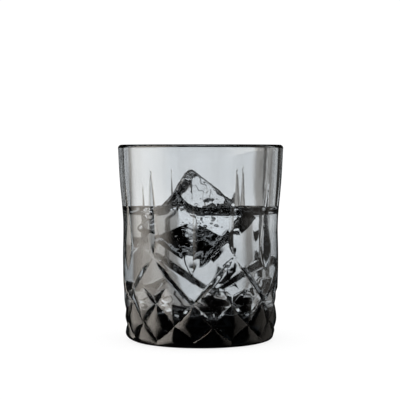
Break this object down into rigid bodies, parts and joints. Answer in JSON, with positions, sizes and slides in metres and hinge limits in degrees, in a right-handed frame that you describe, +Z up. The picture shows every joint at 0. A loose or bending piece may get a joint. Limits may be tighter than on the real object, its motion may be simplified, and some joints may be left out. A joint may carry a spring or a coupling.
{
  "type": "whiskey tumbler",
  "caption": "Heavy-based pressed-glass tumbler with a cut diamond and leaf pattern, holding a clear drink and a removable ice cube.",
  "frame": {"origin": "centre of the foot, on the surface the tumbler stands on", "axes": "+Z up along the tumbler's axis of turning; -Y points at a tall leaf, on the side that the ice cube stands nearest to"},
  "size_m": [0.082, 0.082, 0.0965],
  "materials": {
    "glass": "polished",
    "drink": "polished",
    "ice": "polished"
  },
  "bodies": {
    "tumbler": {"tumbler_glass": "glass", "drink": "drink"},
    "ice": {"ice_cube": "ice"}
  },
  "joints": [
    {"name": "ice_lift", "type": "slide", "parent": "tumbler", "child": "ice", "axis": [0, 0, 1], "range_m": [0, 0.07], "deforming": ["drink"]}
  ]
}
